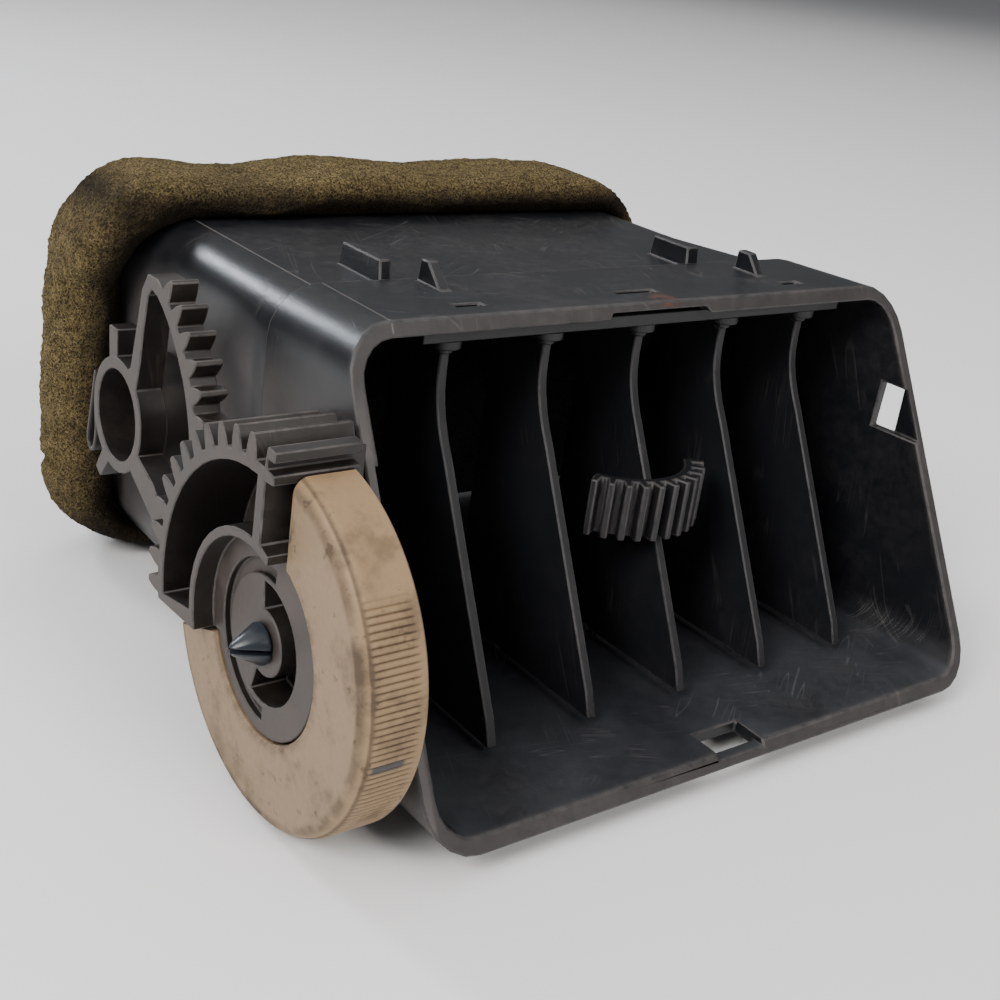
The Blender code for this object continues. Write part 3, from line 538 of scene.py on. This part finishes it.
def build_grip():
    """Point at angle a: the profile's radius, less the rib groove, turned about the wheel's axis by a.

    A profile point at radius r starts at acos(edge / r), so that the upper end is a flat cut, and ends at a
    fixed angle. The groove is a cosine across each rib, raised to a power so that it is narrow, and it fades
    out near the shoulder and near the upper end.
    """
    x, radius = grip_profile()
    share = np.linspace(0.0, 1.0, RIBS * RIB_STEPS)[:, None]
    start = np.arccos(GRIP_EDGE_Y / radius)[None, :]
    angle = start + (math.radians(GRIP_END_DEG) - start) * share
    wave = 0.5 - 0.5 * np.cos(2 * math.pi * RIBS * share)
    on_tread = np.clip((radius - (GRIP_R - 0.25)) / 0.25, 0, 1) * np.clip((-66.6 - x) / 0.6, 0, 1)
    lower_part = np.clip((share - 0.16) / 0.03, 0, 1)
    groove = RIB_DEPTH * wave**3 * on_tread[None, :] * lower_part
    reach = radius[None, :] - groove
    y = WHEEL_Y + reach * np.cos(angle)
    z = WHEEL_Z + reach * np.sin(angle)
    return surface("thumbwheel_grip_ribbed", placed(np.stack([np.broadcast_to(x, y.shape), y, z], axis=-1)))


grip = build_grip()
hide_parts("thumbwheel_grip")

# %% [markdown]
# ## Old cream plastic
#
# The face of the grip is a dull tan with brown blotches and small specks. The tread is yellower, because
# fingers polish it, and a dark line of dirt runs round the shoulder between the two. Distance from the
# wheel's axis finds the shoulder, so the dirt turns with the wheel's own shape.

# %% Grip material
CREAM = (0.248, 0.168, 0.096)
TREAD_CREAM = (0.285, 0.186, 0.096)
STAIN = (0.072, 0.045, 0.024)
MARK_GREY = (0.050, 0.047, 0.047)
MARK_Y, MARK_Z = 0.6, 19.2
MARK_FROM_X, MARK_TO_X = -0.0733, -0.0684
SHOULDER_LINE = 0.0261
RIBS_TOP_Z = 0.0400


def cream_plastic():
    """Cream plastic with stains, dirt between the ribs and at the shoulder, scuffs and a grey index mark."""
    material, place = start_material("grip_cream_plastic")
    radius = axis_distance(place, WHEEL_Y, WHEEL_Z)
    tread = radius.rising(0.0262, 0.0274)
    blotches = noise(place, 8.0, 5.0, 0.68).rising(0.46, 0.70)
    spots = noise(place, 2.4, 3.0, 0.6).rising(0.62, 0.71)
    film = noise(place, 1.3, 4.0, 0.7)
    groove = radius.rising(0.02766, 0.02745) * radius.rising(0.0272, 0.0274)
    shoulder = radius.distance_from(SHOULDER_LINE).rising(0.0012, 0.0002)
    shoulder = shoulder * noise(place, 5.0, 3.0).rising(0.3, 0.6)
    inner_dirt = radius.rising(0.0165, 0.0145) * film.rising(0.2, 0.7)
    lines = scratches(place, (0.9, 0.2, 0.3), 1.8, 0.016, 0.17)
    ribbed = tread * height_of(place).rising(RIBS_TOP_Z + 0.0015, RIBS_TOP_Z)
    dirt = shoulder * 0.6 + inner_dirt * 0.5 + groove * 0.6 + ribbed * 0.12
    stain = blotches * 0.48 + spots * 0.45 + film * 0.2 + dirt
    stain = (stain + lines * 0.25).clamped()
    painted = stain.blend(tread.blend(CREAM, TREAD_CREAM), STAIN)
    across = side_of(place).rising(MARK_FROM_X - 0.0004, MARK_FROM_X + 0.0003)
    across = across * side_of(place).rising(MARK_TO_X + 0.0004, MARK_TO_X - 0.0004)
    mark = axis_distance(place, MARK_Y, MARK_Z).rising(0.0008, 0.0004) * across * film.rising(0.1, 0.4)
    painted = mark.blend(painted, MARK_GREY)
    height = film * 0.6 + noise(place, 0.4, 2.0) * 0.4 - lines * 0.5
    return finish_material(material, {
        "Base Color": painted,
        "Roughness": 0.46 + film * 0.2 + stain * 0.2,
        "Normal": bumped(height, 0.25, 0.15),
    })


dressed(grip, "thumbwheel", "grip_plastic", cream_plastic())
print(grip.name, "wears", grip.data.materials[0].name)

# %% [markdown]
# ## Foam seal round the inlet
#
# The collar is cut from open-cell foam and glued round the duct's inlet. It follows a rounded rectangle on
# the inside and a larger one with generous corners on the outside, so it is a cross-section carried round
# both at once. Soft foam never stays true: slow ripples push its surface in and out, the long top edge dips
# near the left corner, and a small tear shows low on the left side.

# %% Foam shape
FOAM_OUT_X, FOAM_OUT_Z, FOAM_OUT_R = (-73.6, 54.5), (-3.0, 73.0), 18.0
DUCT_OUT_X, DUCT_OUT_Z, DUCT_OUT_R = (-60.7, 48.3), (0.9, 65.7), 7.4
FOAM_FRONT, FOAM_FRONT_LEFT, FOAM_REAR = 101.5, 116.0, 124.0
FOAM_COLUMNS, FOAM_ROWS = 620, 116
FOAM_MIDDLE_X, FOAM_MIDDLE_Z = -6.0, 33.0
FOAM_SECTION = (
    (0, 0), (0.04, 0), (0.5, -0.02), (0.93, 0.06), (1.0, 0.3), (1.0, 0.7),
    (0.94, 0.94), (0.5, 1.0), (0.04, 0.98), (0, 0.98), (0, 0.6), (0, 0.3),
)  # the collar's cross-section as (share out, share back)
CROWN, CROWN_LEFT = 2.0, 6.5  # how far the front bulges forward
TOP_DIP_X, TOP_RISE_X = -42.0, -22.0
TEAR_Y, TEAR_Z = 119.0, 14.0


def rounded_outline(x, z, radius, count):
    """Points on a rectangle with round corners, the same share of them on each straight and each corner."""
    share = np.linspace(0.0, 8.0, count, endpoint=False)
    part, t = share.astype(int), share % 1.0
    cx = np.array([x[1] - radius, x[1] - radius, x[0] + radius, x[0] + radius])
    cz = np.array([z[0] + radius, z[1] - radius, z[1] - radius, z[0] + radius])
    corner = part // 2
    turn = np.where(part % 2 == 0, t, 1.0)
    angle = np.radians(-90 + 90 * corner + 90 * turn)
    px, pz = cx[corner] + radius * np.cos(angle), cz[corner] + radius * np.sin(angle)
    following = (corner + 1) % 4
    nx, nz = cx[following] + radius * np.cos(angle), cz[following] + radius * np.sin(angle)
    slide = np.where(part % 2 == 1, t, 0.0)
    return np.stack([px + (nx - px) * slide, pz + (nz - pz) * slide], axis=-1)


def smooth_loop(points, count, passes=2):
    """Closed curve by cutting corners: each pass puts points at 1/4 and 3/4 of every side."""
    for _ in range(passes):
        following = np.roll(points, -1, axis=0)
        points = np.stack([0.75 * points + 0.25 * following, 0.25 * points + 0.75 * following], axis=1)
        points = points.reshape(-1, points.shape[-1])
    closed = np.vstack([points, points[:1]])
    travel = np.concatenate([[0.0], np.cumsum(np.linalg.norm(np.diff(closed, axis=0), axis=1))])
    where = np.linspace(0.0, travel[-1], count, endpoint=False)
    return np.stack([np.interp(where, travel, closed[:, i]) for i in range(closed.shape[1])], axis=-1)


def set_back(inner):
    """0 to 1: how far the front has moved back. It rises down the left corner and fades out underneath."""
    x, z = inner[:, 0], inner[:, 1]
    down_left = np.clip((65.0 - z) / 12.0, 0, 1) * (x < -53.0)
    under = np.clip((41.0 - x) / 94.0, 0, 1) * (z < 1.5) * (x >= -53.0)
    return down_left + under


def build_foam():
    """Point = inner outline + share out x (outer outline - inner outline), set back by depth, plus ripples.

    The share out and the depth come from the collar's cross-section, a rounded box from 0 to 1 both ways.
    """
    outer = rounded_outline(FOAM_OUT_X, FOAM_OUT_Z, FOAM_OUT_R, FOAM_COLUMNS)
    inner = rounded_outline(DUCT_OUT_X, DUCT_OUT_Z, DUCT_OUT_R, FOAM_COLUMNS)
    section = smooth_loop(np.array(FOAM_SECTION, dtype=float), FOAM_ROWS)
    out, depth = section[:, 0][:, None], section[:, 1][:, None]
    left = set_back(inner)[None, :]
    front = FOAM_FRONT + (FOAM_FRONT_LEFT - FOAM_FRONT) * left
    crown = CROWN + (CROWN_LEFT - CROWN) * left
    crown = crown * np.sin(np.clip(out, 0, 1) * math.pi) ** 0.7 * (1 - depth)
    y = front + (FOAM_REAR - front) * depth - crown
    x = inner[:, 0] + (outer[:, 0] - inner[:, 0]) * out
    z = inner[:, 1] + (outer[:, 1] - inner[:, 1]) * out
    points = np.stack([x, y, z], axis=-1)
    away = np.stack([x - FOAM_MIDDLE_X, np.zeros_like(x), z - FOAM_MIDDLE_Z], axis=-1)
    away /= np.linalg.norm(away, axis=-1, keepdims=True)
    free = np.clip(out * 2.5, 0, 1)
    swell = 0.32 * ripples(points, 30.0, 3) + 0.12 * ripples(points, 8.0, 5)
    dip = -1.5 * np.exp(-((x - TOP_DIP_X) / 9.0) ** 2) + 0.9 * np.exp(-((x - TOP_RISE_X) / 10.0) ** 2)
    tear = -3.2 * np.exp(-((z - TEAR_Z) / 1.1) ** 2) * (x < -68) * np.exp(-((y - TEAR_Y) / 3.0) ** 2)
    points += away * ((swell + dip * (z > 60) + tear - 0.5) * free)[..., None]
    pushed = 0.25 * ripples(points, 14.0, 9) * free
    points[..., 1] -= np.where(depth < 0.5, pushed, 0.0)
    grain = 0.09 * ripples(points, 1.6, 21, waves=60) + 0.08 * ripples(points, 0.95, 22, waves=60)
    points += away * (grain * free)[..., None]
    points[..., 1] -= grain * free * (1 - 2 * depth)
    return surface("inlet_foam_collar", placed(points), ring=True)


foam = build_foam()
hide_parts("inlet_foam_seal")

# %% [markdown]
# ## Open-cell foam
#
# Open-cell foam is a net of thin strands round hollow cells. A cell pattern with dark middles gives
# the hollows, painted almost black as the shade inside them, and a noise lets some cells close up. The outer
# edge has aged to a golden olive with fine painted glints, and the foam is painted darker towards the duct
# as the shade where its face turns in along the wall.

# %% Foam material
COLLAR_MIDDLE_X, COLLAR_MIDDLE_Z = -0.0096, 0.0333


def foam_material(name, light, dark, pore_shade, cell_mm):
    """Strands in a colour that runs from dark near the duct, a painted shade, to aged light outside, with
    cells painted black as shade and sunk by a bump.
    """
    material, place = start_material(name)
    warped = place.node("TexNoise", None, {"Vector": place, "Scale": 1100.0, "Detail": 2.0}, output=1)
    warped = place.node("VectorMath", {"operation": "MULTIPLY_ADD"}, {0: warped, 1: (3.5e-4,) * 3, 2: place})
    cells = place.node("TexVoronoi", {"feature": "F1"}, {"Vector": warped, "Scale": 1000.0 / cell_mm})
    small = place.node("TexVoronoi", {"feature": "F1"}, {"Vector": warped, "Scale": 1900.0 / cell_mm})
    hollow = cells.rising(0.62, 0.22) * noise(place, 1.2, 3.0).rising(0.25, 0.6) * 0.85
    hollow = (hollow + small.rising(0.5, 0.14) * 0.5).clamped()
    left_right = side_of(place).distance_from(COLLAR_MIDDLE_X)
    up_down = height_of(place).distance_from(COLLAR_MIDDLE_Z)
    outwards = left_right.rising(0.0550, 0.0645) + up_down.rising(0.0345, 0.0398)
    # Darker towards the duct is painted shade; the golden outer edge is the foam's aged colour.
    outer_age_and_inner_shade = (outwards * 0.85 + noise(place, 7.0, 4.0, 0.6) * 0.5 - 0.25).clamped()
    strands = outer_age_and_inner_shade.blend(dark, light)
    tone = noise(place, 2.6, 3.0).rising(0.25, 0.75)
    strands = (tone * 0.5).blend(strands, tuple(0.45 * c for c in dark))
    # The glints are painted highlights.
    glints = noise(place, 0.5, 2.0, 0.6).rising(0.5, 0.72) * outer_age_and_inner_shade * 0.6
    strands = glints.blend(strands, tuple(1.5 * c for c in light))
    # The hollows are painted almost black: painted shade inside the cells.
    painted = (hollow * 0.86).blend(strands, pore_shade)
    height = 1 - hollow + noise(place, 0.5, 2.0) * 0.4
    return finish_material(material, {
        "Base Color": painted,
        "Roughness": 0.88 + noise(place, 1.0, 2.0) * 0.1,
        "Normal": bumped(height, 0.85, 0.5),
    }, specular=0.12)


# DARK_OLIVE is the painted shade towards the duct; SEAL_PORE_SHADE is the painted shade in the cells.
GOLDEN_OLIVE = (0.205, 0.152, 0.066)
DARK_OLIVE = (0.020, 0.014, 0.008)
SEAL_PORE_SHADE = (0.007, 0.0048, 0.003)
seal_foam = foam_material("seal_foam", GOLDEN_OLIVE, DARK_OLIVE, SEAL_PORE_SHADE, 0.45)
dressed(foam, "housing", "seal_foam", seal_foam)
print(foam.name, "wears", foam.data.materials[0].name)

# %% [markdown]
# ## Flap facings
#
# The flap inside the duct has a thin foam facing on each side, which closes against the walls without a
# rattle. Each facing is a shallow pillow: a rounded rectangle carried from one face to the other, with its
# edge pulled in a little where it was cut.

# %% Flap facings
LEVER_Y, LEVER_Z = 89.871, 34.771
FLAP_DEG = 110.0
PAD_X, PAD_UP = (-57.9, 45.5), (-32.0, 28.8)
PAD_CORNER = 8.0
PAD_SIDES = 160


def build_facing(node, near, far):
    """Rows are scaled outlines that run from the near face's middle over the rim to the far face's middle."""
    flat = rounded_outline(PAD_X, PAD_UP, PAD_CORNER, PAD_SIDES)
    middle = flat.mean(axis=0)
    inwards = np.concatenate([np.linspace(0.02, 0.97, 18), [0.985, 0.99, 0.985], np.linspace(0.97, 0.02, 18)])
    rise = np.concatenate([np.zeros(18), [0.25, 0.5, 0.75], np.ones(18)])
    spread = middle + (flat[None, :, :] - middle) * inwards[:, None, None]
    off = np.broadcast_to(near + (far - near) * rise[:, None], spread.shape[:2])
    dimple = 0.12 * ripples(np.concatenate([spread, off[..., None]], axis=-1), 5.0, 31)
    off = off + np.where(rise[:, None] > 0.5, -abs(dimple) * np.sign(far - near), 0.0)
    lean = math.radians(FLAP_DEG)
    y = LEVER_Y + spread[..., 1] * math.cos(lean) - off * math.sin(lean)
    z = LEVER_Z + spread[..., 1] * math.sin(lean) + off * math.cos(lean)
    facing = surface(f"{node}_soft", placed(np.stack([spread[..., 0], y, z], axis=-1)))
    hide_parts(node)
    return facing


# These near-black colours are painted shade: the facings sit deep in the dark duct.
SHADED_FLAP_FOAM, DARKER_SHADED_FLAP_FOAM, FLAP_PORE_SHADE = (0.011, 0.0105, 0.010), (0.007, 0.007, 0.007), (0.003, 0.003, 0.003)
PAD_NEAR, PAD_FAR = 1.05, 2.45  # distances of a facing's two sides from the flap's middle plane
flap_foam = foam_material("flap_foam", SHADED_FLAP_FOAM, DARKER_SHADED_FLAP_FOAM, FLAP_PORE_SHADE, 0.8)
for node, near, far in (("flap_front_foam", PAD_NEAR, PAD_FAR), ("flap_rear_foam", -PAD_NEAR, -PAD_FAR)):
    dressed(build_facing(node, near, far), "flap", "flap_foam", flap_foam)

# %% [markdown]
# ## Hairpin clip
#
# A thin moulded hairpin springs against the back of the lever's ring. It is a rounded bar carried along a
# bent path: two straight legs joined by a tight half turn, with a knob at the end of the short leg.

# %% Hairpin
CLIP_PATH = (
    (11.6, 4.2), (12.9, -2.4), (14.1, -8.2), (14.2, -9.7), (13.5, -10.9), (12.5, -11.2),
    (11.5, -10.8), (11.0, -9.6), (10.6, -7.6), (10.5, -6.0), (11.1, -3.0),
)  # (y, z) from the lever's axis
CLIP_X, CLIP_HALF_WIDTH, CLIP_HALF_THICK = -69.2, 1.55, 0.42
CLIP_ROWS, CLIP_SIDES = 60, 20


def build_hairpin():
    """Each row is a rounded bar's outline, at right angles to the path's direction at that row."""
    path = np.array(CLIP_PATH) + (LEVER_Y, LEVER_Z)
    travel = np.concatenate([[0.0], np.cumsum(np.linalg.norm(np.diff(path, axis=0), axis=1))])
    where = np.linspace(0.0, travel[-1], CLIP_ROWS)
    line = np.stack([np.interp(where, travel, path[:, i]) for i in range(2)], axis=-1)
    for _ in range(3):
        line[1:-1] = (line[:-2] + 2 * line[1:-1] + line[2:]) / 4
    along = np.gradient(line, axis=0)
    along /= np.linalg.norm(along, axis=1, keepdims=True)
    across = np.stack([-along[:, 1], along[:, 0]], axis=-1)
    angle = np.linspace(0.0, 2 * math.pi, CLIP_SIDES, endpoint=False)
    wide = CLIP_HALF_WIDTH * np.sign(np.cos(angle)) * abs(np.cos(angle)) ** 0.35
    thick = CLIP_HALF_THICK * np.sign(np.sin(angle)) * abs(np.sin(angle)) ** 0.6
    x = np.broadcast_to(CLIP_X + wide, (CLIP_ROWS, CLIP_SIDES))
    y = line[:, 0][:, None] + across[:, 0][:, None] * thick
    z = line[:, 1][:, None] + across[:, 1][:, None] * thick
    return surface("lever_hairpin_clip_rounded", placed(np.stack([x, y, z], axis=-1)))


hairpin = build_hairpin()
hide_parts("lever_hairpin_clip")
dressed(hairpin, "flap", "mechanism_plastic", mechanism_plastic)

# %% [markdown]
# ## Floor, light and camera
#
# Black plastic shows its shape only through what it reflects. A very large panel overhead gives the even
# light of a room. A small window behind the vent draws the narrow highlight along the duct's rounded
# corner, one on the left rakes across the wheel and the lever, and a fill light in front opens up the
# mouth. The pale floor throws light back from below.

# %% Floor and lights
def plain_floor(side, height):
    """Flat square that the vent stands on."""
    half = side / 2
    grid = [(-half, -half, height), (half, -half, height), (half, half, height), (-half, half, height)]
    mesh = bpy.data.meshes.new("studio_floor")
    mesh.from_pydata(grid, [], [(0, 1, 2, 3)])
    floor = bpy.data.objects.new("studio_floor", mesh)
    bpy.context.scene.collection.objects.link(floor)
    material, place = start_material("studio_floor_paper")
    tone = noise(place, 300.0, 2.0)
    paper = tone.blend((0.86, 0.86, 0.86), (0.9, 0.9, 0.9))
    finish_material(material, {"Base Color": paper, "Roughness": 0.9})
    mesh.materials.append(material)


def soft_light(name, place, target, size, watts, colour=(1.0, 1.0, 1.0)):
    """Square area light at place, turned to face target."""
    light = bpy.data.lights.new(name, "AREA")
    light.size = size
    light.energy = watts
    light.color = colour
    lamp = bpy.data.objects.new(name, light)
    lamp.location = place
    lamp.rotation_euler = (Vector(target) - Vector(place)).to_track_quat("-Z", "Y").to_euler()
    bpy.context.scene.collection.objects.link(lamp)


VENT_MIDDLE = (-0.005, 0.01, 0.035)
FLOOR_Z = -0.0041  # just under the thumbwheel, which the vent rests on
plain_floor(40.0, FLOOR_Z)
soft_light("ceiling_panel", (0.0, 0.3, 2.0), VENT_MIDDLE, 4.0, 55.0)
soft_light("window_behind", (-0.36, 0.92, 0.56), VENT_MIDDLE, 0.19, 5.0, (0.88, 0.93, 1.0))
soft_light("window_left", (-0.80, -0.25, 0.65), VENT_MIDDLE, 0.40, 9.5, (1.0, 0.98, 0.96))
soft_light("front_fill", (0.10, -1.05, 0.75), VENT_MIDDLE, 0.4, 8.0, (1.0, 0.97, 0.93))

world = bpy.data.worlds.new("studio_room")
world.use_nodes = True
world.node_tree.nodes["Background"].inputs["Color"].default_value = (0.95, 0.97, 1.0, 1.0)
world.node_tree.nodes["Background"].inputs["Strength"].default_value = 0.15
bpy.context.scene.world = world

# %% [markdown]
# The camera stands low on the left in front of the mouth, close to the vent, so near parts look clearly
# larger.

# %% Camera
CAMERA_PLACE = (-0.16126, -0.17240, 0.12264)
CAMERA_RIGHT = (0.80351, -0.58158, 0.12701)
CAMERA_UP = (0.10941, 0.35400, 0.92882)
CAMERA_BACK = (-0.58515, -0.73242, 0.34808)

lens = bpy.data.cameras.new("camera")
lens.sensor_width = 36.0
lens.lens = 50.44
lens.shift_x = 0.01765
lens.shift_y = -0.0653
lens.clip_start = 0.01
camera = bpy.data.objects.new("camera", lens)
turned = Matrix((CAMERA_RIGHT, CAMERA_UP, CAMERA_BACK)).transposed().to_4x4()
camera.matrix_world = Matrix.Translation(CAMERA_PLACE) @ turned
bpy.context.scene.collection.objects.link(camera)
bpy.context.scene.camera = camera
print("camera stands", round((Vector(CAMERA_PLACE) - Vector(VENT_MIDDLE)).length, 3), "m from the vent")

# %% [markdown]
# The finished pieces must stay inside the packed model's box.
